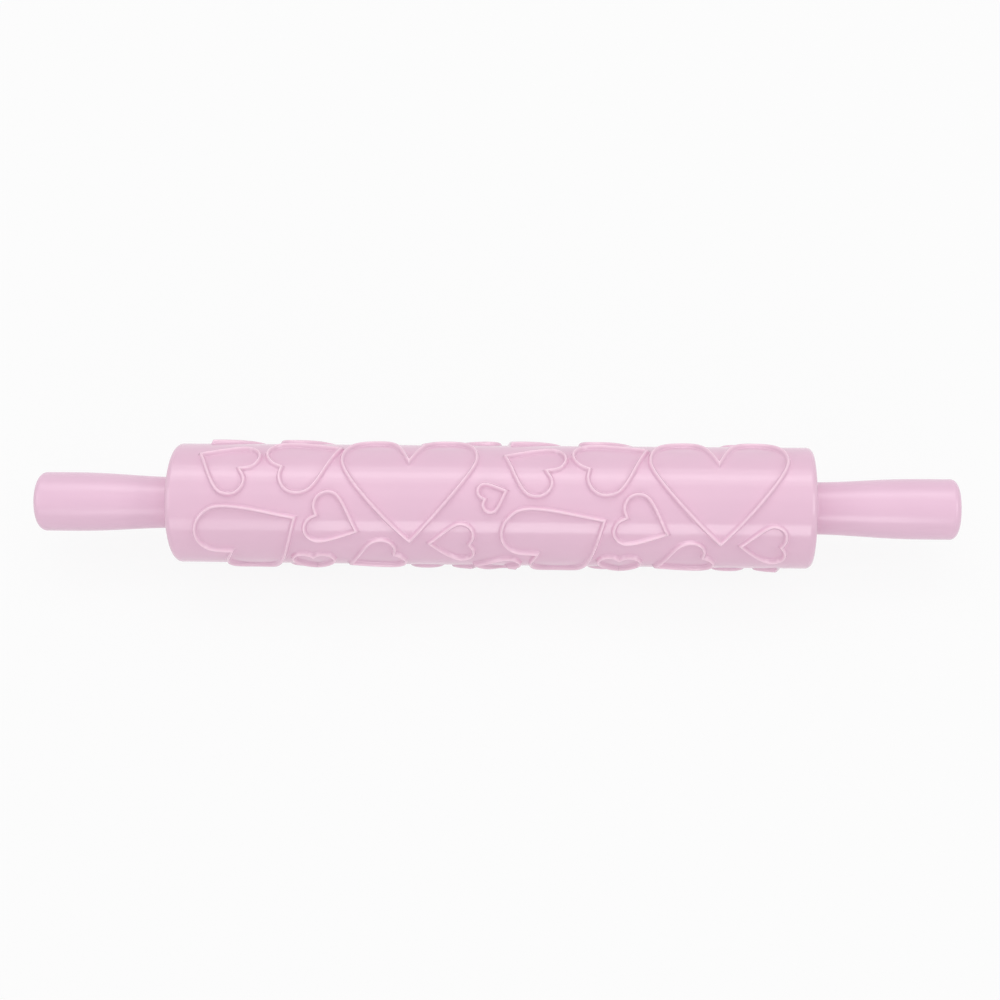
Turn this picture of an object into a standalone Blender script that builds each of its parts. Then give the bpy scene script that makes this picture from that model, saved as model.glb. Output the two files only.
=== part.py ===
"""Embossed rolling pin: a hollow barrel with raised hearts that spins on a steel
axle between two fixed handles.

The origin is the middle of the barrel on the spin axis.  +X runs along the pin
to the right of the photo and +Z is up.  All lengths are in metres.
"""
import math

import bmesh
import bpy
from mathutils import Matrix, Vector
from mathutils.geometry import delaunay_2d_cdt

# Overall sizes
pin_length = 0.375
barrel_length = 0.2592
barrel_radius = 0.0244
emboss_height = 0.0017
fit_gap = 0.0003

# Barrel tube
rim_wall = 0.0034
ledge_width = 0.0025
rebate_depth = 0.0140
barrel_edge_radius = 0.0028
cap_bevel_width = 0.0004

# Heart ribs
rib_top_share = 0.0046
rib_base_share = 0.0092
skin_clear_share = 0.0058
rib_skew_shares = (0.000, 0.012, 0.024, 0.036)
left_skew_share = 0.018
pattern_lean = math.radians(30)

# End caps and bearings
cap_recess = 0.0004
cap_thick = 0.0042
cap_skirt_wall = 0.0020
hub_radius = 0.0095
hub_wall_gap = 0.0063
cap_web_width = 0.0016
cap_web_stop_gap = 0.0032
bush_radius = 0.0060
bush_bore = 0.0043
bush_length = 0.0150
flange_radius = 0.0082
flange_thick = 0.0012
thrust_radius = 0.0076
thrust_thick = 0.0008

# Axle, screws and washers
rod_radius = 0.0040
stub_radius = 0.0030
rod_bevel_width = 0.0004
tap_radius = 0.0015
screw_radius = 0.0012
head_radius = 0.0028
head_height = 0.0022
head_edge_radius = 0.0006
driver_slot_width = 0.0010
driver_slot_length = 0.0034
driver_slot_depth = 0.0012
washer_radius = 0.0052
washer_thick = 0.0010

# Handles and their end plugs
neck_radius = 0.01055
flare_radius = 0.0117
flare_run = 0.0019
swell_radius = 0.01215
swell_from_end = 0.0125
end_curve_run = 0.0032
end_curve_rise = 0.0040
well_radius = 0.0056
plug_well_radius = 0.0066
plug_wall = 0.0013
plug_bevel_width = 0.0004

# Where the pieces inside a handle are, as shares of the handle's length
shoulder_share = 0.170
stub_end_share = 0.655
plug_floor_share = 0.860
tap_floor_share = 0.375
screw_tip_share = 0.470

# Facets
barrel_sides = 36
skin_columns = 34
handle_sides = 32
cap_sides = 28
small_sides = 24
tiny_sides = 16
cap_web_count = 6
heart_steps_small = 8
heart_steps_large = 13
large_heart_share = 0.13
outline_steps = 24
edge_steps = 4
head_edge_steps = 3
flare_steps = 3
mitre_limit = 1.6
near_axis_share = 0.25
weld_share = 0.01
meet_share = 0.001

# The flat skin is cut for rolling up this share of a facet past the start of the
# turn, so that no triangle's middle lies on the cut
seam_share = 0.29

# One heart in its own frame: shares of half the width, then of the length
heart_wide_share = 0.712
heart_top_share = 0.50
heart_tip_shares = (0.418, 0.253)
heart_side_share = 0.172
heart_lobe_share = 0.566
heart_notch_pull_shares = (0.15, 0.50)

# Where the swell of a handle is at each share of its length
swell_shares = (
    (0.00, 0.00),
    (0.12, 0.05),
    (0.27, 0.24),
    (0.45, 0.52),
    (0.62, 0.78),
    (0.80, 0.95),
    (1.00, 1.00),
)

# The repeat as a share of the barrel's length, and how many times as long as
# round the pattern is drawn
repeat_share = 0.4746
pattern_shape_share = 1.634

# Hearts seen in the photo, drawn twice, one repeat apart.  In each row: the tip
# along the barrel as a share of its length, the tip round the barrel as a share
# of a turn, the lean as a share of a turn, the length and the width as shares of
# the pattern's own length, and how far up its length the notch is.
seen_heart_shares = (
    (-0.4484, 0.1414, -0.0692, 0.0891, 0.0941, 0.79),
    (-0.2319, 0.1718, 0.5753, 0.1096, 0.1086, 0.89),
    (-0.1196, -0.0984, 0.2528, 0.1968, 0.2087, 0.68),
    (-0.2955, -0.0358, 0.5872, 0.1524, 0.1613, 0.79),
    (-0.2005, -0.0700, 0.4363, 0.0770, 0.0843, 0.86),
    (-0.2161, -0.1975, 0.0678, 0.0858, 0.0751, 0.90),
    (-0.0891, -0.1033, -0.0035, 0.0677, 0.0705, 0.90),
)

# Hearts on the hidden side of the barrel, drawn twice in the same way
hidden_heart_shares = (
    (-0.2732, -0.2430, 0.2480, 0.0580, 0.0650, 0.85),
    (-0.0298, -0.2549, -0.3092, 0.0437, 0.0430, 0.79),
    (-0.4404, 0.2334, 0.1789, 0.1027, 0.0982, 0.79),
    (-0.2440, 0.3124, 0.4851, 0.0899, 0.0954, 0.79),
    (-0.0548, 0.3885, 0.5768, 0.0775, 0.0803, 0.79),
    (-0.3035, 0.5019, 0.2936, 0.1291, 0.1392, 0.79),
    (-0.1911, 0.3806, 0.2613, 0.0554, 0.0542, 0.79),
    (-0.1370, -0.4326, 0.1212, 0.1016, 0.1114, 0.79),
)

# Hearts drawn once, between the two repeats
single_heart_shares = (
    (0.0292, 0.0365, 0.5610, 0.0410, 0.0459, 0.84),
    (-0.0208, -0.2010, -0.0373, 0.0662, 0.0725, 0.79),
    (-0.0630, 0.2970, 0.0371, 0.0731, 0.0719, 0.79),
    (0.0038, 0.4219, 0.2722, 0.0656, 0.0679, 0.79),
)

# Derived sizes
half_pin = pin_length / 2
half_barrel = barrel_length / 2
turn = 2 * math.pi
rebate_radius = barrel_radius - rim_wall
bore_radius = rebate_radius - ledge_width
wrap_radius = barrel_radius + emboss_height / 2
girth = turn * wrap_radius
repeat_pitch = barrel_length * repeat_share
pattern_unit = min(barrel_length, girth * pattern_shape_share)
rib_top_width = pattern_unit * rib_top_share
rib_base_width = pattern_unit * rib_base_share
skin_clear = pattern_unit * skin_clear_share
skin_half = half_barrel - barrel_edge_radius
cap_face_at = half_barrel - cap_recess
cap_back_at = cap_face_at - cap_thick
rebate_floor_at = half_barrel - rebate_depth
neck_face_at = half_barrel + fit_gap
handle_length = half_pin - neck_face_at
shoulder_at = neck_face_at + handle_length * shoulder_share
stub_end_at = neck_face_at + handle_length * stub_end_share
tap_floor_at = neck_face_at + handle_length * tap_floor_share
screw_tip_at = neck_face_at + handle_length * screw_tip_share
plug_floor_at = neck_face_at + handle_length * plug_floor_share
thrust_out_at = neck_face_at - fit_gap
thrust_in_at = thrust_out_at - thrust_thick
flange_out_at = thrust_in_at - fit_gap
flange_in_at = flange_out_at - flange_thick
bush_in_at = flange_in_at - bush_length
hub_in_at = bush_in_at - fit_gap
well_floor_at = stub_end_at + fit_gap
washer_in_at = well_floor_at + fit_gap
washer_out_at = washer_in_at + washer_thick
head_in_at = washer_out_at + fit_gap
head_out_at = head_in_at + head_height
end_ring_radius = swell_radius - end_curve_rise


def clear_scene():
    for old in list(bpy.data.objects):
        bpy.data.objects.remove(old, do_unlink=True)


def make_material(name, colour, roughness, metallic):
    material = bpy.data.materials.new(name)
    material.use_nodes = True
    shader = material.node_tree.nodes["Principled BSDF"]
    shader.inputs["Base Color"].default_value = (colour[0], colour[1], colour[2], 1.0)
    shader.inputs["Roughness"].default_value = roughness
    shader.inputs["Metallic"].default_value = metallic
    material.diffuse_color = (colour[0], colour[1], colour[2], 1.0)
    return material


def link_mesh(name, work, material):
    mesh = bpy.data.meshes.new(name)
    bmesh.ops.recalc_face_normals(work, faces=work.faces)
    work.to_mesh(mesh)
    work.free()
    mesh.materials.append(material)
    mesh.shade_smooth()
    mesh.set_sharp_from_angle(angle=math.radians(32))
    part = bpy.data.objects.new(name, mesh)
    bpy.context.scene.collection.objects.link(part)
    return part


def turned(name, profile, sides, material):
    """A closed solid of revolution about X; the profile is a loop of (x, radius)."""
    work = bmesh.new()
    rings = []
    for step in range(sides):
        angle = turn * step / sides
        ring = []
        for along, radius in profile:
            ring.append(work.verts.new((along, radius * math.sin(angle), radius * math.cos(angle))))
        rings.append(ring)
    count = len(profile)
    for step in range(sides):
        here = rings[step]
        there = rings[(step + 1) % sides]
        for k in range(count):
            after = (k + 1) % count
            if profile[k][1] > 0 or profile[after][1] > 0:
                work.faces.new((here[k], here[after], there[after], there[k]))
    bmesh.ops.remove_doubles(work, verts=work.verts, dist=fit_gap * weld_share)
    return link_mesh(name, work, material)


def quarter_round(centre_x, centre_r, run, rise, steps):
    """Points on a quarter ellipse, from its outer side to its end face."""
    points = []
    for k in range(steps + 1):
        angle = math.pi / 2 * k / steps
        points.append((centre_x + run * math.sin(angle), centre_r + rise * math.cos(angle)))
    return points


def mirrored(profile, side):
    return [(side * along, radius) for along, radius in profile]


def bezier(start, pull_a, pull_b, end, steps):
    points = []
    for k in range(steps + 1):
        t = k / steps
        u = 1 - t
        weights = (u * u * u, 3 * t * u * u, 3 * t * t * u, t * t * t)
        x = sum(w * p[0] for w, p in zip(weights, (start, pull_a, pull_b, end)))
        y = sum(w * p[1] for w, p in zip(weights, (start, pull_a, pull_b, end)))
        points.append((x, y))
    return points


def heart_half(notch):
    """Right half of a heart from tip to notch, one wide to a side and one long."""
    wide = heart_wide_share
    top = heart_top_share
    lobe = heart_lobe_share
    pull_x, pull_y = heart_notch_pull_shares
    side = bezier((0, 0), heart_tip_shares, (1, wide - heart_side_share), (1, wide), outline_steps)
    rise = wide + (1 - wide) * lobe
    reach = top + (1 - top) * lobe
    crown = bezier((1, wide), (1, rise), (reach, 1), (top, 1), outline_steps)
    dip = notch + (1 - notch) * pull_y
    inner = bezier((top, 1), (top * (1 - lobe), 1), (pull_x, dip), (0, notch), outline_steps)
    return side + crown[1:] + inner[1:]


def shifted_half(half, shift):
    """Right half of the outline moved outwards by shift and ended on the heart's axis."""
    moved = []
    for before, after in zip(half, half[1:]):
        way = (Vector(after) - Vector(before)).normalized()
        middle = (Vector(before) + Vector(after)) / 2
        moved.append(middle + Vector((way.y, -way.x)) * shift)
    moved = on_axis(moved, abs(shift))
    moved.reverse()
    moved = on_axis(moved, abs(shift))
    moved.reverse()
    return moved


def on_axis(points, limit):
    """The run of points cut back, or carried on by no more than limit, to start at x = 0."""
    first = 0
    while points[first + 1].x <= 0:
        first += 1
    here = points[first]
    there = points[first + 1]
    start = here + (there - here) * (here.x / (here.x - there.x))
    start.x = 0
    carried = max(-mitre_limit * limit, min(mitre_limit * limit, start.y - here.y))
    start.y = here.y + carried
    if (there - start).length < rib_top_width * near_axis_share:
        return [start] + points[first + 2:]
    return [start] + points[first + 1:]


def bend_marks(half, count):
    """Shares of the outline's length, closer together where it bends more."""
    turns = [0]
    lengths = [0]
    heading = None
    for before, after in zip(half, half[1:]):
        way = Vector(after) - Vector(before)
        lengths.append(lengths[-1] + way.length)
        bend = 0 if heading is None else abs(heading.angle(way))
        turns.append(turns[-1] + bend)
        heading = way
    shares = []
    for k in range(count + 1):
        want = k / count
        for j in range(1, len(half)):
            low = (lengths[j - 1] / lengths[-1] + turns[j - 1] / turns[-1]) / 2
            high = (lengths[j] / lengths[-1] + turns[j] / turns[-1]) / 2
            if high >= want or j == len(half) - 1:
                part_way = (want - low) / (high - low)
                along = lengths[j - 1] + (lengths[j] - lengths[j - 1]) * part_way
                shares.append(along / lengths[-1])
                break
    return shares


def skewed(shares, skew):
    """The shares moved along a little, so that no two ribs' corners lie square to each other."""
    return [share + skew * math.sin(math.pi * share) for share in shares]


def picked_at(points, shares):
    """Points of a run at the given shares of its length."""
    lengths = [0]
    for before, after in zip(points, points[1:]):
        lengths.append(lengths[-1] + (after - before).length)
    picked = []
    for share in shares:
        mark = share * lengths[-1]
        k = 0
        while k < len(points) - 2 and lengths[k + 1] < mark:
            k += 1
        part_way = (mark - lengths[k]) / (lengths[k + 1] - lengths[k])
        picked.append(points[k] + (points[k + 1] - points[k]) * part_way)
    picked[0].x = 0
    picked[-1].x = 0
    return picked


def flat_heart(along, round_by, lean, length, width, notch):
    """Outer foot, outer crest, inner crest and inner foot of one heart rib, laid flat."""
    half = [(x * width / 2, y * length) for x, y in heart_half(notch)]
    count = heart_steps_large if length > large_heart_share * pattern_unit else heart_steps_small
    shares = bend_marks(half, count)
    spin = Matrix.Rotation(lean - math.pi / 2, 2)
    loops = []
    shifts = (rib_base_width / 2, rib_top_width / 2, -rib_top_width / 2, -rib_base_width / 2)
    for shift, skew in zip(shifts, rib_skew_shares):
        moved = shifted_half(half, shift)
        right = picked_at(moved, skewed(shares, skew))
        other = picked_at(moved, skewed(shares, skew - left_skew_share))
        left = [Vector((-spot.x, spot.y)) for spot in reversed(other)]
        loop = []
        for flat in right + left[1:-1]:
            loop.append(spin @ flat + Vector((along, round_by)))
        loops.append(loop)
    return loops


def placed_hearts():
    rows = []
    for row in seen_heart_shares + hidden_heart_shares:
        rows.append((row, 0))
        rows.append((row, repeat_pitch))
    for row in single_heart_shares:
        rows.append((row, 0))
    hearts = []
    for row, shift in rows:
        tip_along, tip_round, lean, length, width, notch = row
        hearts.append(flat_heart(tip_along * barrel_length + shift, tip_round * girth, lean * turn,
                                 length * pattern_unit, width * pattern_unit, notch))
    return hearts


def near_a_rib(spot, hearts):
    """Whether a flat spot is too close to a rib to be a corner of the plain skin."""
    for loops in hearts:
        for loop in (loops[0], loops[3]):
            for k in range(len(loop)):
                start = loop[k - 1]
                way = loop[k] - start
                for round_turn in (-girth, 0, girth):
                    gap = spot + Vector((0, round_turn)) - start
                    share = max(0, min(1, gap.dot(way) / way.dot(way)))
                    if (gap - way * share).length < skin_clear:
                        return True
    return False


def flat_skin():
    """The barrel's skin laid flat: its spots, their heights and the lines it must keep."""
    hearts = placed_hearts()
    spots = []
    heights = []
    lines = []
    for loops in hearts:
        for loop, height in zip(loops, (0, emboss_height, emboss_height, 0)):
            first = len(spots)
            spots.extend(loop)
            heights.extend([height] * len(loop))
            for k in range(len(loop)):
                lines.append((first + k, first + (k + 1) % len(loop)))
    rims = []
    for side in (-1, 1):
        rims.append(len(spots))
        for k in range(barrel_sides):
            spots.append(Vector((side * skin_half, girth * k / barrel_sides)))
            heights.append(0)
    for column in range(1, skin_columns):
        along = skin_half * (2 * column / skin_columns - 1)
        for k in range(barrel_sides):
            spot = Vector((along, girth * (k + (column % 2) / 2) / barrel_sides))
            if not near_a_rib(spot, hearts):
                spots.append(spot)
                heights.append(0)
    return spots, heights, lines, rims


def skin_triangles(spots, lines, rims):
    """Triangles of the flat skin that meet themselves once it is rolled up."""
    count = len(spots)
    spread = []
    edges = []
    for copy in range(3):
        lift = Vector((0, girth * (copy - 1)))
        spread.extend([spot + lift for spot in spots])
        edges.extend([(a + copy * count, b + copy * count) for a, b in lines])
        for rim in rims:
            for k in range(barrel_sides - 1):
                edges.append((copy * count + rim + k, copy * count + rim + k + 1))
            if copy < 2:
                edges.append((copy * count + rim + barrel_sides - 1, (copy + 1) * count + rim))
    verts, _, faces, sources, _, _ = delaunay_2d_cdt(spread, edges, [], 0, fit_gap * meet_share)
    seam = girth * seam_share / barrel_sides
    kept = []
    for face in faces:
        middle = sum(verts[k].y for k in face) / len(face)
        if seam <= middle < seam + girth:
            kept.append([sources[k][0] % count for k in face])
    return kept


def make_barrel(material):
    """Tube with its ends rounded and the hearts raised out of its skin."""
    spots, heights, lines, rims = flat_skin()
    work = bmesh.new()
    corners = []
    for spot, height in zip(spots, heights):
        angle = spot.y / wrap_radius
        radius = barrel_radius + height
        corners.append(work.verts.new((spot.x, radius * math.sin(angle), radius * math.cos(angle))))
    for face in skin_triangles(spots, lines, rims):
        work.faces.new([corners[k] for k in face])
    edge = barrel_edge_radius
    half = quarter_round(skin_half, barrel_radius - edge, edge, edge, edge_steps)[1:]
    half.append((half_barrel, rebate_radius))
    half.append((rebate_floor_at, rebate_radius))
    half.append((rebate_floor_at, bore_radius))
    inside = half + mirrored(reversed(half), -1)
    rings = [[corners[rims[1] + k] for k in range(barrel_sides)]]
    for along, radius in inside:
        ring = []
        for k in range(barrel_sides):
            angle = turn * k / barrel_sides
            ring.append(work.verts.new((along, radius * math.sin(angle), radius * math.cos(angle))))
        rings.append(ring)
    rings.append([corners[rims[0] + k] for k in range(barrel_sides)])
    for here, there in zip(rings, rings[1:]):
        for k in range(barrel_sides):
            after = (k + 1) % barrel_sides
            work.faces.new((here[k], here[after], there[after], there[k]))
    return link_mesh("barrel", work, material)


def make_cap(name, side, material):
    outer = rebate_radius - fit_gap
    skirt_in_at = rebate_floor_at + fit_gap
    profile = [
        (cap_face_at, flange_radius + fit_gap),
        (cap_face_at, outer - cap_bevel_width),
        (cap_face_at - cap_bevel_width, outer),
        (skirt_in_at, outer),
        (skirt_in_at, outer - cap_skirt_wall),
        (cap_back_at, outer - cap_skirt_wall),
        (cap_back_at, hub_radius),
        (hub_in_at, hub_radius),
        (hub_in_at, hub_wall_gap),
        (flange_in_at - fit_gap, hub_wall_gap),
        (flange_in_at - fit_gap, flange_radius + fit_gap),
    ]
    cap = turned(name, mirrored(profile, side), cap_sides, material)
    webs = make_cap_webs(name + "_webs", side, material)
    webs.parent = cap
    union = cap.modifiers.new("webs", "BOOLEAN")
    union.operation = "UNION"
    union.solver = "EXACT"
    union.object = webs
    return cap


def make_cap_webs(name, side, material):
    """Flat webs between hub and skirt, rooted a little way into both."""
    work = bmesh.new()
    outer = rebate_radius - fit_gap - cap_skirt_wall / 2
    inner = (hub_radius + hub_wall_gap) / 2
    near = side * (cap_back_at + cap_recess)
    far = side * (rebate_floor_at + cap_web_stop_gap)
    for k in range(cap_web_count):
        spin = Matrix.Rotation(turn * k / cap_web_count, 4, "X")
        box = bmesh.ops.create_cube(work, size=1)
        centre = Vector(((near + far) / 2, 0, (outer + inner) / 2))
        spread = Matrix.Diagonal((abs(near - far), cap_web_width, outer - inner, 1))
        bmesh.ops.transform(work, matrix=spin @ Matrix.Translation(centre) @ spread, verts=box["verts"])
    webs = link_mesh(name, work, material)
    webs.hide_render = True
    webs.display_type = "WIRE"
    return webs


def make_bush(name, side, material):
    profile = [
        (flange_out_at, bush_bore),
        (flange_out_at, flange_radius),
        (flange_in_at, flange_radius),
        (flange_in_at, bush_radius),
        (bush_in_at, bush_radius),
        (bush_in_at, bush_bore),
    ]
    return turned(name, mirrored(profile, side), small_sides, material)


def make_ring(name, inner_at, outer_at, hole, radius, side, material):
    profile = [(outer_at, hole), (outer_at, radius), (inner_at, radius), (inner_at, hole)]
    return turned(name, mirrored(profile, side), small_sides, material)


def make_rod(material):
    half = [
        (0, rod_radius),
        (shoulder_at - rod_bevel_width, rod_radius),
        (shoulder_at, rod_radius - rod_bevel_width),
        (shoulder_at, stub_radius),
        (stub_end_at - rod_bevel_width, stub_radius),
        (stub_end_at, stub_radius - rod_bevel_width),
        (stub_end_at, tap_radius),
        (tap_floor_at, tap_radius),
        (tap_floor_at - tap_radius, 0),
    ]
    profile = half + mirrored(reversed(half[1:]), -1)
    return turned("axle_rod", profile, small_sides, material)


def handle_outline():
    """Outer side of the right handle, from the barrel to its end face."""
    start = neck_face_at + flare_run
    stop = half_pin - swell_from_end
    points = []
    for k in range(flare_steps):
        angle = math.pi / 2 * k / flare_steps
        drop = (flare_radius - neck_radius) * math.sin(angle)
        points.append((start - flare_run * math.cos(angle), flare_radius - drop))
    for along, rise in swell_shares:
        points.append((start + (stop - start) * along, neck_radius + (swell_radius - neck_radius) * rise))
    round_at = half_pin - end_curve_run
    points.extend(quarter_round(round_at, end_ring_radius, end_curve_run, end_curve_rise, edge_steps))
    return points


def make_handle(name, side, material):
    profile = handle_outline()
    profile.append((half_pin, plug_well_radius))
    profile.append((plug_floor_at, plug_well_radius))
    profile.append((plug_floor_at, well_radius))
    profile.append((well_floor_at, well_radius))
    profile.append((well_floor_at, stub_radius + fit_gap))
    profile.append((shoulder_at + fit_gap, stub_radius + fit_gap))
    profile.append((shoulder_at + fit_gap, rod_radius + fit_gap))
    profile.append((neck_face_at, rod_radius + fit_gap))
    return turned(name, mirrored(profile, side), handle_sides, material)


def make_plug(name, side, material):
    outer = plug_well_radius - fit_gap
    skirt_at = plug_floor_at + fit_gap
    profile = [
        (half_pin, 0),
        (half_pin, outer - plug_bevel_width),
        (half_pin - plug_bevel_width, outer),
        (skirt_at, outer),
        (skirt_at, outer - plug_wall),
        (half_pin - plug_wall, outer - plug_wall),
        (half_pin - plug_wall, 0),
    ]
    return turned(name, mirrored(profile, side), small_sides, material)


def make_screw(name, side, material):
    profile = [(screw_tip_at, 0), (screw_tip_at + head_edge_radius, screw_radius)]
    profile.append((head_in_at, screw_radius))
    profile.append((head_in_at, head_radius))
    edge = head_edge_radius
    profile.extend(quarter_round(head_out_at - edge, head_radius - edge, edge, edge, head_edge_steps))
    profile.append((head_out_at, 0))
    screw = turned(name, mirrored(profile, side), tiny_sides, material)
    cross = make_cross(name + "_slot", side, material)
    cross.parent = screw
    cut = screw.modifiers.new("driver cross", "BOOLEAN")
    cut.operation = "DIFFERENCE"
    cut.solver = "EXACT"
    cut.object = cross
    return screw


def make_cross(name, side, material):
    """Cutter for the cross recess: a plus-shaped prism."""
    arm = driver_slot_length / 2
    slim = driver_slot_width / 2
    outline = ((slim, slim), (slim, arm), (-slim, arm), (-slim, slim), (-arm, slim), (-arm, -slim),
               (-slim, -slim), (-slim, -arm), (slim, -arm), (slim, -slim), (arm, -slim), (arm, slim))
    work = bmesh.new()
    floor_at = side * (head_out_at - driver_slot_depth)
    above_at = side * (head_out_at + driver_slot_depth)
    low = [work.verts.new((floor_at, y, z)) for y, z in outline]
    high = [work.verts.new((above_at, y, z)) for y, z in outline]
    work.faces.new(low)
    work.faces.new(high)
    for k in range(len(outline)):
        after = (k + 1) % len(outline)
        work.faces.new((low[k], low[after], high[after], high[k]))
    cross = link_mesh(name, work, material)
    cross.hide_render = True
    cross.display_type = "WIRE"
    return cross


def add_empty(name):
    empty = bpy.data.objects.new(name, None)
    bpy.context.scene.collection.objects.link(empty)
    return empty


def build():
    clear_scene()
    pink = make_material("pink_plastic", (0.81, 0.55, 0.67), 0.22, 0.0)
    cap_pink = make_material("cap_plastic", (0.81, 0.55, 0.67), 0.30, 0.0)
    nylon = make_material("white_nylon", (0.86, 0.86, 0.83), 0.45, 0.0)
    steel = make_material("bright_steel", (0.62, 0.63, 0.65), 0.28, 1.0)
    screw_steel = make_material("zinc_steel", (0.55, 0.56, 0.58), 0.35, 1.0)

    spinning = add_empty("barrel_spin_axis")
    barrel = make_barrel(pink)
    spinning_parts = [barrel]
    held_parts = [make_rod(steel)]
    for word, side in (("left", -1), ("right", 1)):
        spinning_parts.append(make_cap("end_cap_" + word, side, cap_pink))
        spinning_parts.append(make_bush("bush_" + word, side, nylon))
        held_parts.append(make_ring("thrust_washer_" + word, thrust_in_at, thrust_out_at,
                                    rod_radius + fit_gap, thrust_radius, side, nylon))
        held_parts.append(make_handle("handle_" + word, side, pink))
        held_parts.append(make_plug("handle_plug_" + word, side, cap_pink))
        held_parts.append(make_ring("screw_washer_" + word, washer_in_at, washer_out_at,
                                    tap_radius, washer_radius, side, screw_steel))
        held_parts.append(make_screw("handle_screw_" + word, side, screw_steel))
    for part in spinning_parts:
        part.parent = spinning
    spinning.rotation_euler = (pattern_lean, 0, 0)
    frame_root = add_empty("handles_and_axle")
    for part in held_parts:
        part.parent = frame_root


build()
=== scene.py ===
"""Looks of the embossed rolling pin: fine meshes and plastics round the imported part,
with a pale floor, soft studio lamps and a camera that looks down at 60 degrees.
"""

import math

import bmesh
import bpy
from mathutils import Matrix, Vector, kdtree
from mathutils.geometry import delaunay_2d_cdt


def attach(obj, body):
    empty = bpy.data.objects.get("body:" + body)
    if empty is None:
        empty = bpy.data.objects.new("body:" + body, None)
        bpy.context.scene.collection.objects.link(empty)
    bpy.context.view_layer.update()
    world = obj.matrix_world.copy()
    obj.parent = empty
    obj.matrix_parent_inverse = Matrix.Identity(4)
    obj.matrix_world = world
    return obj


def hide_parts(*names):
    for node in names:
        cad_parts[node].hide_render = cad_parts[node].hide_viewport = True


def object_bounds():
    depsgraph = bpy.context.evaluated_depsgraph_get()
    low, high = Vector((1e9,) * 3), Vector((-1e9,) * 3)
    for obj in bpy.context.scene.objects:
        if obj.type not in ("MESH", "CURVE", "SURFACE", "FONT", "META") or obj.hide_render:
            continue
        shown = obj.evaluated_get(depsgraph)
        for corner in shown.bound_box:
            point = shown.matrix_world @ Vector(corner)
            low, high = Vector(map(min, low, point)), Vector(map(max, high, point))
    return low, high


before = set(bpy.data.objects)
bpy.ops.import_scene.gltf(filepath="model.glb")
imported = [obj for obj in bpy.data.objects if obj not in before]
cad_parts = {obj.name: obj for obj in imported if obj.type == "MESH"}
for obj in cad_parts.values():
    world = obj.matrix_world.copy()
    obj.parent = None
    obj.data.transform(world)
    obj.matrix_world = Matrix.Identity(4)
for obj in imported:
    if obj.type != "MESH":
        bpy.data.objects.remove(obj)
cad_low, cad_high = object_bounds()

# Sizes of the part, in metres, as in its source
pin_length = 0.375
barrel_length = 0.2592
barrel_radius = 0.0244
emboss_height = 0.0017
fit_gap = 0.0003
rim_wall = 0.0034
ledge_width = 0.0025
rebate_depth = 0.0140
barrel_edge_radius = 0.0028
cap_recess = 0.0004
cap_thick = 0.0042
cap_skirt_wall = 0.0020
hub_radius = 0.0095
hub_wall_gap = 0.0063
bush_length = 0.0150
flange_radius = 0.0082
flange_thick = 0.0012
thrust_thick = 0.0008
rod_radius = 0.0040
stub_radius = 0.0030
neck_radius = 0.01055
flare_radius = 0.0117
flare_run = 0.0019
swell_radius = 0.01215
swell_from_end = 0.0125
end_curve_run = 0.0032
end_curve_rise = 0.0040
well_radius = 0.0056
plug_well_radius = 0.0066
plug_wall = 0.0013
shoulder_share = 0.170
stub_end_share = 0.655
plug_floor_share = 0.860
pattern_lean = math.radians(30)

# One side of a heart's rib: how far each line lies from the rib's middle, and how
# high it is as a share of the full height
rib_side = (
    (0.00128, 0.00),
    (0.00112, 0.04),
    (0.00096, 0.15),
    (0.00080, 0.32),
    (0.00063, 0.54),
    (0.00045, 0.77),
    (0.00025, 0.93),
)
rib_section = rib_side + ((0.0, 1.0),) + tuple((-shift, rise) for shift, rise in reversed(rib_side))

# The flat skin: distances between spots along a rib and on the plain grid, how far the
# grid stays off a rib's foot, and how wide a band past each end of one girth takes part
outline_pitch = 0.0008
skin_pitch = 0.0020
skin_clear = 0.0012
seam_band = 0.014

# Where the seam is cut as a share of a rim's step, the rise under which a rib's line
# counts as its foot, and how far a mitre may reach for each length that its line moved
seam_share = 0.29
foot_rise_share = 0.1
mitre_limit = 1.6

# How finely round forms are drawn
fine_sides = 128
outline_steps = 60
fewest_heart_steps = 4
barrel_edge_steps = 12
barrel_lip_steps = 4
flare_steps = 8
swell_steps = 36
handle_end_steps = 16
handle_lip_steps = 3
dish_steps = 6
small_edge_steps = 5
groove_steps = 8
sharp_angle = math.radians(40)

# Details of the plugs and caps
plug_edge_share = 1.5
plug_dish_share = 0.8
cap_edge_share = 2
cap_chamfer_share = 0.3
groove_width_share = 2

# Spots nearer than these shares of the clearance count as one: on a turned piece and in
# the flat skin
merge_share = 0.003
exact_share = 0.0001

# Stands in for a length of zero in a division
tiny_length = 1e-12

# One heart in its own frame: places across are shares of half the width, places along
# are shares of the length, and pulls are shares of the way that is left
heart_wide_share = 0.712
heart_top_share = 0.50
heart_tip_shares = (0.418, 0.253)
heart_side_share = 0.172
heart_lobe_share = 0.566
heart_notch_pull_shares = (0.15, 0.50)

# Where the swell of a handle is at each share of its length
swell_shares = (
    (0.00, 0.00),
    (0.12, 0.05),
    (0.27, 0.24),
    (0.45, 0.52),
    (0.62, 0.78),
    (0.80, 0.95),
    (1.00, 1.00),
)

# The pattern's repeat as a share of the barrel's length, and its unit's limit in girths
repeat_share = 0.4746
pattern_shape_share = 1.634

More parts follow.
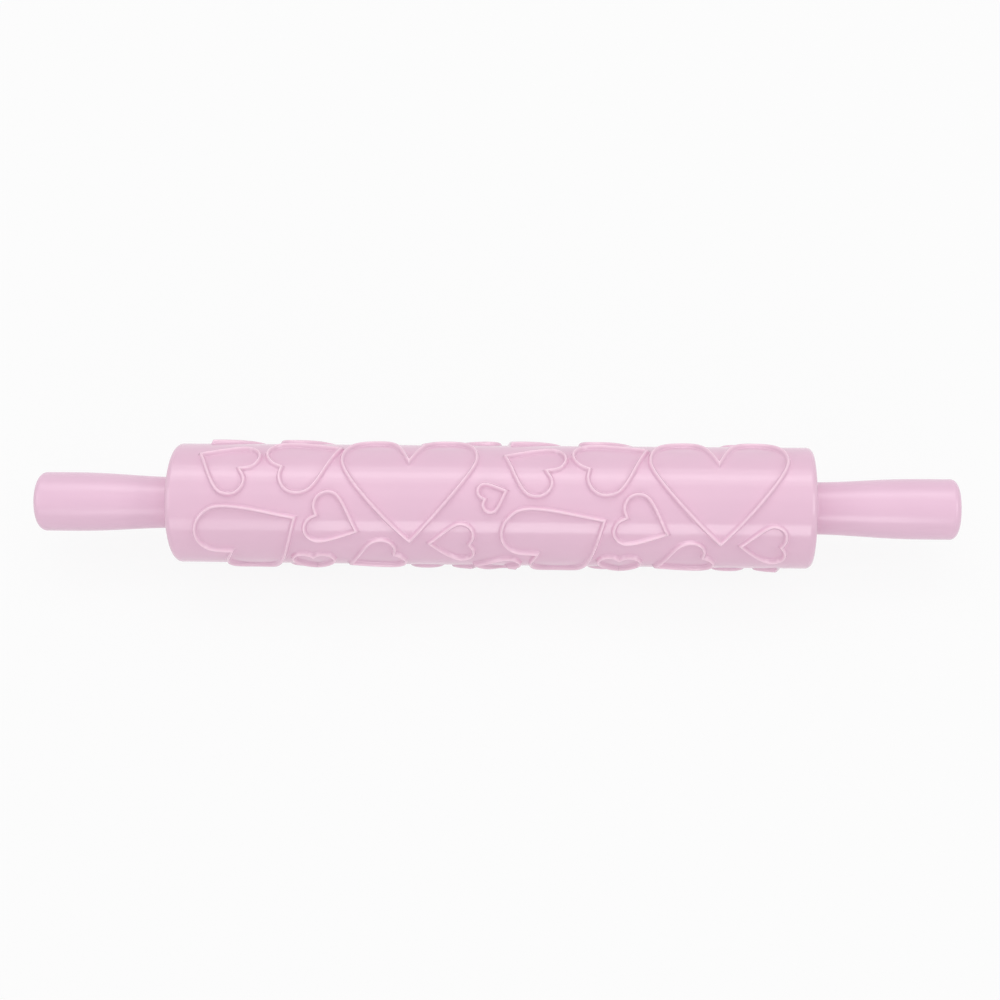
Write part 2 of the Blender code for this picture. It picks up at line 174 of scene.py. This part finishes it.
# The hearts of the part's source: tip along the barrel as a share of its length, tip
# round it as a share of the girth, lean as a share of a turn, length and width as shares
# of the pattern's unit, and notch as a share of the heart's length
seen_heart_shares = (
    (-0.4484, 0.1414, -0.0692, 0.0891, 0.0941, 0.79),
    (-0.2319, 0.1718, 0.5753, 0.1096, 0.1086, 0.89),
    (-0.1196, -0.0984, 0.2528, 0.1968, 0.2087, 0.68),
    (-0.2955, -0.0358, 0.5872, 0.1524, 0.1613, 0.79),
    (-0.2005, -0.0700, 0.4363, 0.0770, 0.0843, 0.86),
    (-0.2161, -0.1975, 0.0678, 0.0858, 0.0751, 0.90),
    (-0.0891, -0.1033, -0.0035, 0.0677, 0.0705, 0.90),
)
hidden_heart_shares = (
    (-0.2732, -0.2430, 0.2480, 0.0580, 0.0650, 0.85),
    (-0.0298, -0.2549, -0.3092, 0.0437, 0.0430, 0.79),
    (-0.4404, 0.2334, 0.1789, 0.1027, 0.0982, 0.79),
    (-0.2440, 0.3124, 0.4851, 0.0899, 0.0954, 0.79),
    (-0.0548, 0.3885, 0.5768, 0.0775, 0.0803, 0.79),
    (-0.3035, 0.5019, 0.2936, 0.1291, 0.1392, 0.79),
    (-0.1911, 0.3806, 0.2613, 0.0554, 0.0542, 0.79),
    (-0.1370, -0.4326, 0.1212, 0.1016, 0.1114, 0.79),
)
single_heart_shares = (
    (0.0292, 0.0365, 0.5610, 0.0410, 0.0459, 0.84),
    (-0.0208, -0.2010, -0.0373, 0.0662, 0.0725, 0.79),
    (-0.0630, 0.2970, 0.0371, 0.0731, 0.0719, 0.79),
    (0.0038, 0.4219, 0.2722, 0.0656, 0.0679, 0.79),
)

# Derived sizes
turn = 2 * math.pi
half_pin = pin_length / 2
half_barrel = barrel_length / 2
rebate_radius = barrel_radius - rim_wall
bore_radius = rebate_radius - ledge_width
wrap_radius = barrel_radius + emboss_height / 2
girth = turn * wrap_radius
repeat_pitch = barrel_length * repeat_share
pattern_unit = min(barrel_length, girth * pattern_shape_share)
skin_half = half_barrel - barrel_edge_radius
rebate_floor_at = half_barrel - rebate_depth
cap_face_at = half_barrel - cap_recess
cap_back_at = cap_face_at - cap_thick
neck_face_at = half_barrel + fit_gap
handle_length = half_pin - neck_face_at
shoulder_at = neck_face_at + handle_length * shoulder_share
well_floor_at = neck_face_at + handle_length * stub_end_share + fit_gap
plug_floor_at = neck_face_at + handle_length * plug_floor_share
flange_in_at = neck_face_at - 2 * fit_gap - thrust_thick - flange_thick
hub_in_at = flange_in_at - bush_length - fit_gap
end_ring_radius = swell_radius - end_curve_rise

# Noises: how many cells lie along a metre, and how many finer layers they have
plastic_cloud = (38, 3)
plastic_smear = (90, 3)
plastic_wave = (75, 1)
plastic_grain = (2600, 2)
metal_line = (4200, 2)
nylon_cloud = (160, 4)
nylon_grain = (3000, 3)

# Nearly all of a noise lies between these values
noise_low = 0.3
noise_high = 0.7

# Bumps: their height in metres and their strength
wave_strength = 1.0
plastic_bump = (0.00001, 0.6)
metal_bump = (0.00002, 0.4)
nylon_bump = (0.00003, 0.5)

plastic_specular = 0.63
nylon_gloss = (0.38, 0.52)
lathe_stretch = (1.0, 0.04, 0.04)

# Painted highlight on the ribs' crests: its paler colour, and the shares of a rib's height where it sets in
# and is full
crest_highlight_pink = (0.92, 0.64, 0.77)
crest_highlight_rises = (0.2, 0.9)

# Floor, world and view: lengths in metres, turns in radians, lens and sensor in millimetres
white = (1, 1, 1, 1)
floor_paper_grey = (0.74, 0.74, 0.74, 1)
floor_reach = 4.0
floor_glow = 0.90
world_strength = 0.51
sight_degrees = 60
camera_distance = 0.705
camera_yaw = 0.0652
camera_roll = -0.009
camera_off_x = -0.0036692
camera_off_y = -0.0021748
camera_lens = 62.19
camera_sensor = 36.0
camera_near = 0.01

# Each lamp: degrees above the direction of view, distance, length along the pin, width,
# radiance, and how far along the pin it stands
lamps = {
    "low_softbox": (-42, 1.0, 0.62, 0.353, 2.36, 0.06),
    "low_side": (-42, 1.0, 0.32, 0.353, 1.15, -0.41),
    "upper_panel": (30, 1.1, 1.2, 0.600, 0.33, 0.0),
    "key_softbox": (58, 1.1, 1.0, 0.231, 1.18, 0.0),
    "key_edge": (60, 1.1, 1.6, 0.673, 1.04, 0.0),
    "right_panel": (10, 0.9, 0.8, 0.800, 2.30, 1.15),
    "left_panel": (10, 0.9, 0.8, 0.800, 1.65, -1.15),
}


# Plastics and metals

def new_material(name):
    material = bpy.data.materials.new(name)
    material.use_nodes = True
    return material, material.node_tree.nodes, material.node_tree.links


def noise(nodes, links, where, scale, detail):
    """A noise value for each place, in cells of one size with finer layers on them."""
    node = nodes.new("ShaderNodeTexNoise")
    node.inputs["Scale"].default_value = scale
    node.inputs["Detail"].default_value = detail
    links.new(where, node.inputs["Vector"])
    return node.outputs["Fac"]


def ramp(nodes, links, value, low, high):
    """The noise spread between two colours."""
    node = nodes.new("ShaderNodeValToRGB")
    node.color_ramp.elements[0].position = noise_low
    node.color_ramp.elements[1].position = noise_high
    node.color_ramp.elements[0].color = (*low, 1)
    node.color_ramp.elements[1].color = (*high, 1)
    links.new(value, node.inputs["Fac"])
    return node.outputs["Color"]


def spread(nodes, links, value, low, high):
    """The noise spread between two values."""
    node = nodes.new("ShaderNodeMapRange")
    node.inputs["From Min"].default_value = noise_low
    node.inputs["From Max"].default_value = noise_high
    node.inputs["To Min"].default_value = low
    node.inputs["To Max"].default_value = high
    links.new(value, node.inputs["Value"])
    return node.outputs["Result"]


def bump(nodes, links, height, distance, strength, below=None):
    """Normals of a fine relief, laid on another relief's normals where those are given."""
    node = nodes.new("ShaderNodeBump")
    node.inputs["Distance"].default_value = distance
    node.inputs["Strength"].default_value = strength
    links.new(height, node.inputs["Height"])
    if below is not None:
        links.new(below, node.inputs["Normal"])
    return node.outputs["Normal"]


def paint_crest_highlight(nodes, links, colour, low, high):
    """The colour with a painted highlight: paler where the mesh's rise says that a rib is at its highest.
    """
    rise = nodes.new("ShaderNodeAttribute")
    rise.attribute_name = "rise"
    near = nodes.new("ShaderNodeMapRange")
    near.interpolation_type = "SMOOTHSTEP"
    near.inputs["From Min"].default_value = low
    near.inputs["From Max"].default_value = high
    links.new(rise.outputs["Fac"], near.inputs["Value"])
    highlight_mix = nodes.new("ShaderNodeMix")
    highlight_mix.data_type = "RGBA"
    links.new(near.outputs["Result"], highlight_mix.inputs["Factor"])
    links.new(colour, highlight_mix.inputs["A"])
    highlight_mix.inputs["B"].default_value = (*crest_highlight_pink, 1)
    return highlight_mix.outputs["Result"]


def moulded_plastic(name, low, high, gloss, waves, painted_crests=False):
    """Smooth injection-moulded plastic: faint clouds of colour, uneven gloss and slow waves, and on ribs a
    painted highlight where asked.
    """
    material, nodes, links = new_material(name)
    shader = nodes["Principled BSDF"]
    where = nodes.new("ShaderNodeTexCoord").outputs["Object"]
    cloud = noise(nodes, links, where, *plastic_cloud)
    colour = ramp(nodes, links, cloud, low, high)
    # The ribs' crests may get a painted highlight: a paler pink by their height
    if painted_crests:
        colour = paint_crest_highlight(nodes, links, colour, *crest_highlight_rises)
    links.new(colour, shader.inputs["Base Color"])
    smear = noise(nodes, links, where, *plastic_smear)
    links.new(spread(nodes, links, smear, *gloss), shader.inputs["Roughness"])
    wave = bump(nodes, links, noise(nodes, links, where, *plastic_wave), waves, wave_strength)
    grain = bump(nodes, links, noise(nodes, links, where, *plastic_grain), *plastic_bump, wave)
    links.new(grain, shader.inputs["Normal"])
    shader.inputs["Specular IOR Level"].default_value = plastic_specular
    return material


def turned_metal(name, low, high, gloss):
    """Metal with the fine rings that a lathe or a drawing die leaves round the X axis."""
    material, nodes, links = new_material(name)
    shader = nodes["Principled BSDF"]
    where = nodes.new("ShaderNodeTexCoord").outputs["Object"]
    rings = nodes.new("ShaderNodeMapping")
    rings.inputs["Scale"].default_value = lathe_stretch
    links.new(where, rings.inputs["Vector"])
    line = noise(nodes, links, rings.outputs["Vector"], *metal_line)
    links.new(ramp(nodes, links, line, low, high), shader.inputs["Base Color"])
    links.new(spread(nodes, links, line, *gloss), shader.inputs["Roughness"])
    links.new(bump(nodes, links, line, *metal_bump), shader.inputs["Normal"])
    shader.inputs["Metallic"].default_value = 1.0
    return material


def matte_nylon(name, low, high):
    """Dull bearing plastic with a fine grain."""
    material, nodes, links = new_material(name)
    shader = nodes["Principled BSDF"]
    where = nodes.new("ShaderNodeTexCoord").outputs["Object"]
    cloud = noise(nodes, links, where, *nylon_cloud)
    links.new(ramp(nodes, links, cloud, low, high), shader.inputs["Base Color"])
    links.new(spread(nodes, links, cloud, *nylon_gloss), shader.inputs["Roughness"])
    grain = bump(nodes, links, noise(nodes, links, where, *nylon_grain), *nylon_bump)
    links.new(grain, shader.inputs["Normal"])
    return material


# The barrel's rib crests carry a painted highlight
barrel_pink = moulded_plastic("barrel_pink", (0.800, 0.515, 0.660), (0.820, 0.530, 0.676),
                              gloss=(0.11, 0.17), waves=0.00006, painted_crests=True)
handle_pink = moulded_plastic("handle_pink", (0.814, 0.528, 0.682), (0.832, 0.546, 0.698),
                              gloss=(0.23, 0.27), waves=0.00004)
cap_pink = moulded_plastic("cap_pink", (0.780, 0.495, 0.622), (0.802, 0.516, 0.642),
                           gloss=(0.28, 0.36), waves=0.00003)
white_nylon = matte_nylon("white_nylon", (0.83, 0.83, 0.80), (0.88, 0.88, 0.85))
bright_steel = turned_metal("bright_steel", (0.57, 0.58, 0.60), (0.66, 0.67, 0.69), (0.22, 0.34))
zinc_steel = turned_metal("zinc_steel", (0.50, 0.51, 0.53), (0.60, 0.61, 0.63), (0.30, 0.42))

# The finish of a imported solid, by how its name starts; the first match counts
solid_finishes = (
    ("bush", white_nylon),
    ("thrust", white_nylon),
    ("axle_rod", bright_steel),
    ("barrel", cap_pink),
    ("handle_plug", cap_pink),
    ("end_cap", cap_pink),
    ("handle_screw", zinc_steel),
    ("screw_washer", zinc_steel),
    ("handle", handle_pink),
)


# Meshes

def link_piece(name, work, material):
    """The finished mesh as an object, smooth but for its sharp edges."""
    mesh = bpy.data.meshes.new(name)
    bmesh.ops.recalc_face_normals(work, faces=work.faces)
    work.to_mesh(mesh)
    work.free()
    mesh.materials.append(material)
    mesh.shade_smooth()
    mesh.set_sharp_from_angle(angle=sharp_angle)
    piece = bpy.data.objects.new(name, mesh)
    bpy.context.scene.collection.objects.link(piece)
    return piece


def turned(name, profile, sides, material):
    """A closed solid of revolution about X; the profile is a loop of (x, radius)."""
    work = bmesh.new()
    rings = []
    for step in range(sides):
        angle = turn * step / sides
        rings.append([work.verts.new((x, r * math.sin(angle), r * math.cos(angle))) for x, r in profile])
    count = len(profile)
    for step in range(sides):
        here = rings[step]
        there = rings[(step + 1) % sides]
        for k in range(count):
            after = (k + 1) % count
            if profile[k][1] > 0 or profile[after][1] > 0:
                work.faces.new((here[k], here[after], there[after], there[k]))
    bmesh.ops.remove_doubles(work, verts=work.verts, dist=fit_gap * merge_share)
    return link_piece(name, work, material)


def quarter_round(centre_x, centre_r, run, rise, steps):
    """Points on a quarter ellipse, from its outer side to its end face."""
    points = []
    for k in range(steps + 1):
        angle = math.pi / 2 * k / steps
        points.append((centre_x + run * math.sin(angle), centre_r + rise * math.cos(angle)))
    return points


def mirrored(profile, side):
    """The profile of the right side, turned over for the left where side is -1."""
    return [(side * x, r) for x, r in profile]


def bezier(start, pull_a, pull_b, end, steps):
    """Points on the curve that leaves start towards pull_a and reaches end from pull_b."""
    points = []
    for k in range(steps + 1):
        t = k / steps
        u = 1 - t
        weights = (u * u * u, 3 * t * u * u, 3 * t * t * u, t * t * t)
        x = sum(w * p[0] for w, p in zip(weights, (start, pull_a, pull_b, end)))
        y = sum(w * p[1] for w, p in zip(weights, (start, pull_a, pull_b, end)))
        points.append((x, y))
    return points


def heart_half(notch):
    """Right half of a heart from tip to notch, one wide to a side and one long."""
    wide = heart_wide_share
    top = heart_top_share
    lobe = heart_lobe_share
    pull_x, pull_y = heart_notch_pull_shares
    side = bezier((0, 0), heart_tip_shares, (1, wide - heart_side_share), (1, wide), outline_steps)
    rise = wide + (1 - wide) * lobe
    reach = top + (1 - top) * lobe
    crown = bezier((1, wide), (1, rise), (reach, 1), (top, 1), outline_steps)
    dip = notch + (1 - notch) * pull_y
    inner = bezier((top, 1), (top * (1 - lobe), 1), (pull_x, dip), (0, notch), outline_steps)
    return side + crown[1:] + inner[1:]


def on_axis(points, limit):
    """The run cut back, or carried on by at most mitre_limit times limit, to start at x = 0."""
    first = 0
    while points[first + 1].x <= 0:
        first += 1
    here = points[first]
    there = points[first + 1]
    start = here + (there - here) * (here.x / (here.x - there.x))
    start.x = 0
    start.y = here.y + max(-mitre_limit * limit, min(mitre_limit * limit, start.y - here.y))
    return [start] + points[first + 1:]


def shifted_half(half, shift):
    """Right half of the outline moved outwards by shift and ended on the heart's axis."""
    moved = []
    for before, after in zip(half, half[1:]):
        way = (Vector(after) - Vector(before)).normalized()
        middle = (Vector(before) + Vector(after)) / 2
        moved.append(middle + Vector((way.y, -way.x)) * shift)
    moved = on_axis(moved, abs(shift))
    moved.reverse()
    moved = on_axis(moved, abs(shift))
    moved.reverse()
    return moved


def evenly(points, pitch):
    """Points at even steps along a run, both its ends kept."""
    lengths = [0]
    for before, after in zip(points, points[1:]):
        lengths.append(lengths[-1] + (after - before).length)
    count = max(fewest_heart_steps, round(lengths[-1] / pitch))
    picked = []
    k = 0
    for step in range(count + 1):
        mark = lengths[-1] * step / count
        while k < len(points) - 2 and lengths[k + 1] < mark:
            k += 1
        part_way = (mark - lengths[k]) / max(lengths[k + 1] - lengths[k], tiny_length)
        picked.append(points[k] + (points[k + 1] - points[k]) * part_way)
    return picked


def flat_heart(x, s, lean, length, width, notch):
    """The lines of one heart's rib laid flat, each with its height."""
    half = [(a * width / 2, b * length) for a, b in heart_half(notch)]
    spin = Matrix.Rotation(lean - math.pi / 2, 2)
    loops = []
    for shift, rise in rib_section:
        right = evenly(shifted_half(half, shift), outline_pitch)
        right[0].x = 0
        right[-1].x = 0
        left = [Vector((-spot.x, spot.y)) for spot in reversed(right)]
        loops.append(([spin @ spot + Vector((x, s)) for spot in right + left[1:-1]], rise))
    return loops


def placed_hearts():
    """All the barrel's hearts: most designs come twice, one repeat apart."""
    rows = []
    for row in seen_heart_shares + hidden_heart_shares:
        rows.append((row, 0))
        rows.append((row, repeat_pitch))
    for row in single_heart_shares:
        rows.append((row, 0))
    hearts = []
    for row, shift in rows:
        x, s, lean, length, width, notch = row
        hearts.append(flat_heart(x * barrel_length + shift, s * girth, lean * turn,
                                 length * pattern_unit, width * pattern_unit, notch))
    return hearts


def flat_skin():
    """The barrel's skin laid flat: its spots, their heights, the lines it keeps and its rims."""
    spots = []
    heights = []
    lines = []
    feet = []
    for loops in placed_hearts():
        for loop, rise in loops:
            first = len(spots)
            spots.extend(loop)
            heights.extend([rise * emboss_height] * len(loop))
            for k in range(len(loop)):
                lines.append((first + k, first + (k + 1) % len(loop)))
            if rise < foot_rise_share:
                feet.extend(loop)
    foot_places = [(foot.x, foot.y + copy * girth, 0) for foot in feet for copy in (-1, 0, 1)]
    tree = kdtree.KDTree(len(foot_places))
    for k, foot_place in enumerate(foot_places):
        tree.insert(foot_place, k)
    tree.balance()
    rims = []
    for side in (-1, 1):
        rims.append(len(spots))
        for k in range(fine_sides):
            spots.append(Vector((side * skin_half, girth * k / fine_sides)))
            heights.append(0)
    columns = round(2 * skin_half / skin_pitch)
    rows = round(girth / skin_pitch)
    for column in range(1, columns):
        x = skin_half * (2 * column / columns - 1)
        for k in range(rows):
            spot = Vector((x, girth * (k + (column % 2) / 2) / rows))
            if tree.find((spot.x, spot.y, 0))[2] > skin_clear:
                spots.append(spot)
                heights.append(0)
    return spots, heights, lines, rims


def skin_triangles(spots, lines, rims):
    """Triangles of one girth of the flat skin, which meet at the seam once it is rolled up.

    The skin is triangulated with a band of its own copies past both ends, and only the
    triangles whose middles lie within one girth of the seam are kept.
    """
    spread_spots = []
    source = []
    place = {}
    for copy in (-1, 0, 1):
        for k, spot in enumerate(spots):
            lifted = spot.y + girth * copy
            if -seam_band < lifted < girth + seam_band:
                place[(k, copy)] = len(spread_spots)
                spread_spots.append(Vector((spot.x, lifted)))
                source.append(k)
    edges = []
    pairs = list(lines)
    for rim in rims:
        pairs.extend([(rim + k, rim + k + 1) for k in range(fine_sides - 1)])
    for copy in (-1, 0, 1):
        for a, b in pairs:
            if (a, copy) in place and (b, copy) in place:
                edges.append((place[(a, copy)], place[(b, copy)]))
        for rim in rims:
            last = (rim + fine_sides - 1, copy)
            first = (rim, copy + 1)
            if last in place and first in place:
                edges.append((place[last], place[first]))
    exact = fit_gap * exact_share
    verts, _, faces, origins, _, _ = delaunay_2d_cdt(spread_spots, edges, [], 0, exact)
    seam = girth * seam_share / fine_sides
    kept = []
    for face in faces:
        middle = sum(verts[k].y for k in face) / len(face)
        if seam <= middle < seam + girth:
            kept.append([source[origins[k][0]] for k in face])
    return kept


def even_out_normals(mesh, heights):
    """Gives the skin between the ribs the round tube's own normals, right up to each rib's foot."""
    normals = [Vector(corner.vector) for corner in mesh.corner_normals]
    smooth = [Vector(vertex.vector) for vertex in mesh.vertex_normals]
    for loop in mesh.loops:
        k = loop.vertex_index
        # Vertices past the skin's own belong to the rounded ends and the inside
        if k >= len(heights):
            continue
        if heights[k] > 0:
            normals[loop.index] = smooth[k]
        else:
            spot = mesh.vertices[k].co
            normals[loop.index] = Vector((0, spot.y, spot.z)).normalized()
    mesh.normals_split_custom_set(normals)


def make_barrel(material):
    """The embossed skin rolled up, with rounded ends, a rebate for each cap and the bore."""
    spots, heights, lines, rims = flat_skin()
    work = bmesh.new()
    rise = work.verts.layers.float.new("rise")
    corners = []
    for spot, height in zip(spots, heights):
        angle = spot.y / wrap_radius
        radius = barrel_radius + height
        corner = work.verts.new((spot.x, radius * math.sin(angle), radius * math.cos(angle)))
        corner[rise] = height / emboss_height
        corners.append(corner)
    for face in skin_triangles(spots, lines, rims):
        work.faces.new([corners[k] for k in face])
    edge = barrel_edge_radius
    half = quarter_round(skin_half, barrel_radius - edge, edge, edge, barrel_edge_steps)[1:]
    half.extend(quarter_round(half_barrel, rebate_radius, -fit_gap, fit_gap, barrel_lip_steps))
    half.append((rebate_floor_at, rebate_radius))
    half.append((rebate_floor_at, bore_radius))
    inside = half + mirrored(reversed(half), -1)
    rings = [[corners[rims[1] + k] for k in range(fine_sides)]]
    for x, r in inside:
        ring = []
        for k in range(fine_sides):
            angle = turn * k / fine_sides
            ring.append(work.verts.new((x, r * math.sin(angle), r * math.cos(angle))))
        rings.append(ring)
    rings.append([corners[rims[0] + k] for k in range(fine_sides)])
    for here, there in zip(rings, rings[1:]):
        for k in range(fine_sides):
            after = (k + 1) % fine_sides
            work.faces.new((here[k], here[after], there[after], there[k]))
    lean = Matrix.Rotation(pattern_lean, 4, "X")
    bmesh.ops.transform(work, matrix=lean, verts=work.verts)
    barrel = link_piece("barrel_skin", work, material)
    even_out_normals(barrel.data, heights)
    return barrel


def smooth_run(points, steps):
    """A smooth curve through points of rising x, in even steps."""
    slopes = []
    for k in range(len(points)):
        before = points[max(k - 1, 0)]
        after = points[min(k + 1, len(points) - 1)]
        slopes.append((after[1] - before[1]) / (after[0] - before[0]))
    slopes[0] = 0
    slopes[-1] = 0
    curve = []
    for step in range(steps + 1):
        x = points[0][0] + (points[-1][0] - points[0][0]) * step / steps
        k = 0
        while k < len(points) - 2 and points[k + 1][0] < x:
            k += 1
        width = points[k + 1][0] - points[k][0]
        t = (x - points[k][0]) / width
        leave = 2 * t ** 3 - 3 * t ** 2 + 1
        leave_slope = t ** 3 - 2 * t ** 2 + t
        reach = 3 * t ** 2 - 2 * t ** 3
        reach_slope = t ** 3 - t ** 2
        y = leave * points[k][1] + leave_slope * width * slopes[k]
        y = y + reach * points[k + 1][1] + reach_slope * width * slopes[k + 1]
        curve.append((x, y))
    return curve


def handle_outline():
    """Outside of the right handle: flare at the neck, long swell and rounded end."""
    start = neck_face_at + flare_run
    stop = half_pin - swell_from_end
    points = []
    for k in range(flare_steps):
        angle = math.pi / 2 * k / flare_steps
        drop = (flare_radius - neck_radius) * math.sin(angle)
        points.append((start - flare_run * math.cos(angle), flare_radius - drop))
    marks = []
    for along, rise in swell_shares:
        marks.append((start + (stop - start) * along, neck_radius + (swell_radius - neck_radius) * rise))
    points.extend(smooth_run(marks, swell_steps))
    curve_at = half_pin - end_curve_run
    points.extend(quarter_round(curve_at, end_ring_radius, end_curve_run, end_curve_rise, handle_end_steps))
    return points


def make_handle(name, side, material):
    """Handle with a well for the plug and the screw, and a stepped bore for the axle."""
    profile = handle_outline()
    lip = fit_gap / 2
    profile.extend(quarter_round(half_pin, plug_well_radius, -lip, lip, handle_lip_steps))
    profile.append((plug_floor_at, plug_well_radius))
    profile.append((plug_floor_at, well_radius))
    profile.append((well_floor_at, well_radius))
    profile.append((well_floor_at, stub_radius + fit_gap))
    profile.append((shoulder_at + fit_gap, stub_radius + fit_gap))
    profile.append((shoulder_at + fit_gap, rod_radius + fit_gap))
    profile.append((neck_face_at, rod_radius + fit_gap))
    return turned(name, mirrored(profile, side), fine_sides, material)


def make_plug(name, side, material):
    """Hollow plug with a slightly dished face."""
    outer = plug_well_radius - fit_gap
    edge = fit_gap * plug_edge_share
    dish = fit_gap
    profile = [(half_pin - dish, 0)]
    for k in range(1, dish_steps + 1):
        r = (outer - edge) * plug_dish_share * k / dish_steps
        profile.append((half_pin - dish * (1 - (k / dish_steps) ** 2), r))
    profile.extend(reversed(quarter_round(half_pin - edge, outer - edge, edge, edge, small_edge_steps)))
    profile.append((plug_floor_at + fit_gap, outer))
    profile.append((plug_floor_at + fit_gap, outer - plug_wall))
    profile.append((half_pin - plug_wall, outer - plug_wall))
    profile.append((half_pin - plug_wall, 0))
    return turned(name, mirrored(profile, side), fine_sides, material)


def make_cap(name, side, material):
    """End cap with a shallow ring groove in its face."""
    outer = rebate_radius - fit_gap
    edge = fit_gap * cap_edge_share
    chamfer = edge * cap_chamfer_share
    groove = fit_gap
    groove_reach = edge * groove_width_share
    hole = flange_radius + fit_gap
    profile = [(cap_face_at - edge, hole)]
    profile.append((cap_face_at - chamfer, hole + chamfer))
    profile.append((cap_face_at, hole + edge))
    middle = (hole + outer) / 2
    for k in range(groove_steps + 1):
        angle = math.pi * k / groove_steps
        profile.append((cap_face_at - groove * math.sin(angle), middle - groove_reach * math.cos(angle)))
    profile.extend(reversed(quarter_round(cap_face_at - edge, outer - edge, edge, edge, small_edge_steps)))
    profile.append((rebate_floor_at + fit_gap, outer))
    profile.append((rebate_floor_at + fit_gap, outer - cap_skirt_wall))
    profile.append((cap_back_at, outer - cap_skirt_wall))
    profile.append((cap_back_at, hub_radius))
    profile.append((hub_in_at, hub_radius))
    profile.append((hub_in_at, hub_wall_gap))
    profile.append((flange_in_at - fit_gap, hub_wall_gap))
    profile.append((flange_in_at - fit_gap, hole))
    return turned(name, mirrored(profile, side), fine_sides, material)


barrel = make_barrel(barrel_pink)
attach(barrel, "barrel")
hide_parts("barrel")
for word, side in (("left", -1), ("right", 1)):
    cap = make_cap("cap_" + word, side, cap_pink)
    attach(cap, "barrel")
    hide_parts("end_cap_" + word)
    grip = make_handle("grip_" + word, side, handle_pink)
    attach(grip, "handles")
    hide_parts("handle_" + word)
    plug = make_plug("plug_" + word, side, handle_pink)
    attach(plug, "handles")
    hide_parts("handle_plug_" + word)
for name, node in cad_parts.items():
    finish = next(finish for start, finish in solid_finishes if name.startswith(start))
    for held in node.material_slots:
        held.material = finish


# Floor, lamps and camera

def looked_at(nodes, links, share):
    """The share, for rays from the camera or by way of a mirror or glass, and 0 for other light."""
    path = nodes.new("ShaderNodeLightPath")
    total = path.outputs["Is Camera Ray"]
    for kind in ("Is Glossy Ray", "Is Transmission Ray"):
        most = nodes.new("ShaderNodeMath")
        most.operation = "MAXIMUM"
        links.new(total, most.inputs[0])
        links.new(path.outputs[kind], most.inputs[1])
        total = most.outputs["Value"]
    part = nodes.new("ShaderNodeMath")
    part.operation = "MULTIPLY"
    part.inputs[1].default_value = share
    links.new(total, part.inputs[0])
    return part.outputs["Value"]


def make_floor():
    """Pale matt paper under the pin, whose glow keeps it nearly white where it is looked at."""
    mesh = bpy.data.meshes.new("floor")
    ways = ((-1, -1), (1, -1), (1, 1), (-1, 1))
    corners = [(floor_reach * x, floor_reach * y, cad_low.z) for x, y in ways]
    mesh.from_pydata(corners, [], [(0, 1, 2, 3)])
    floor = bpy.data.objects.new("floor", mesh)
    bpy.context.scene.collection.objects.link(floor)
    material, nodes, links = new_material("floor_paper")
    shader = nodes["Principled BSDF"]
    shader.inputs["Base Color"].default_value = floor_paper_grey
    shader.inputs["Roughness"].default_value = 1.0
    shader.inputs["Specular IOR Level"].default_value = 0.0
    glow = nodes.new("ShaderNodeEmission")
    glow.inputs["Color"].default_value = white
    both = nodes.new("ShaderNodeMixShader")
    links.new(looked_at(nodes, links, floor_glow), both.inputs["Fac"])
    links.new(shader.outputs["BSDF"], both.inputs[1])
    links.new(glow.outputs["Emission"], both.inputs[2])
    links.new(both.outputs["Shader"], nodes["Material Output"].inputs["Surface"])
    mesh.materials.append(material)


def softbox(name, above_view, distance, long, wide, radiance, x):
    """An area lamp that faces the pin's axis, seen across the pin at an angle above the view."""
    angle = math.radians(90 - sight_degrees) - math.radians(above_view)
    way = Vector((0, -math.sin(angle), math.cos(angle)))
    lamp = bpy.data.lights.new(name, "AREA")
    lamp.shape = "RECTANGLE"
    lamp.size = long
    lamp.size_y = wide
    lamp.energy = radiance * math.pi * long * wide
    holder = bpy.data.objects.new(name, lamp)
    holder.location = way * distance + Vector((x, 0, 0))
    holder.rotation_euler = (angle, 0, 0)
    holder.visible_camera = False
    bpy.context.scene.collection.objects.link(holder)


def make_world():
    """Even dim light from all sides, which looks white where it is seen itself."""
    world = bpy.data.worlds.new("studio")
    world.use_nodes = True
    nodes = world.node_tree.nodes
    links = world.node_tree.links
    dim = nodes["Background"]
    dim.inputs["Color"].default_value = white
    dim.inputs["Strength"].default_value = world_strength
    seen = nodes.new("ShaderNodeBackground")
    seen.inputs["Color"].default_value = white
    seen.inputs["Strength"].default_value = 1.0
    both = nodes.new("ShaderNodeMixShader")
    links.new(looked_at(nodes, links, 1.0), both.inputs["Fac"])
    links.new(dim.outputs["Background"], both.inputs[1])
    links.new(seen.outputs["Background"], both.inputs[2])
    links.new(both.outputs["Shader"], nodes["World Output"].inputs["Surface"])
    bpy.context.scene.world = world


def make_camera():
    """The fitted camera, which looks down at the pin's middle and a little from its right."""
    sight = math.radians(sight_degrees)
    yaw = camera_yaw
    roll = camera_roll
    spin = Matrix(((math.cos(yaw), 0, -math.sin(yaw)), (0, 1, 0), (math.sin(yaw), 0, math.cos(yaw))))
    bank = Matrix(((math.cos(roll), -math.sin(roll), 0), (math.sin(roll), math.cos(roll), 0), (0, 0, 1)))
    turnings = bank @ spin
    steep = math.sin(sight)
    flat = math.cos(sight)
    to_world = Matrix(((1, 0, 0), (0, steep, -flat), (0, flat, steep)))
    from_middle = Vector((-camera_off_x, -camera_off_y, camera_distance))
    place = to_world @ (turnings.transposed() @ from_middle)
    axes = to_world @ turnings.transposed()
    lens = bpy.data.cameras.new("camera")
    lens.sensor_width = camera_sensor
    lens.lens = camera_lens
    lens.clip_start = camera_near
    holder = bpy.data.objects.new("camera", lens)
    holder.matrix_world = Matrix.Translation(place) @ axes.to_4x4()
    bpy.context.scene.collection.objects.link(holder)
    bpy.context.scene.camera = holder


make_floor()
make_world()
for name, lamp in lamps.items():
    softbox(name, *lamp)
make_camera()
bpy.context.scene.view_settings.view_transform = "Standard"
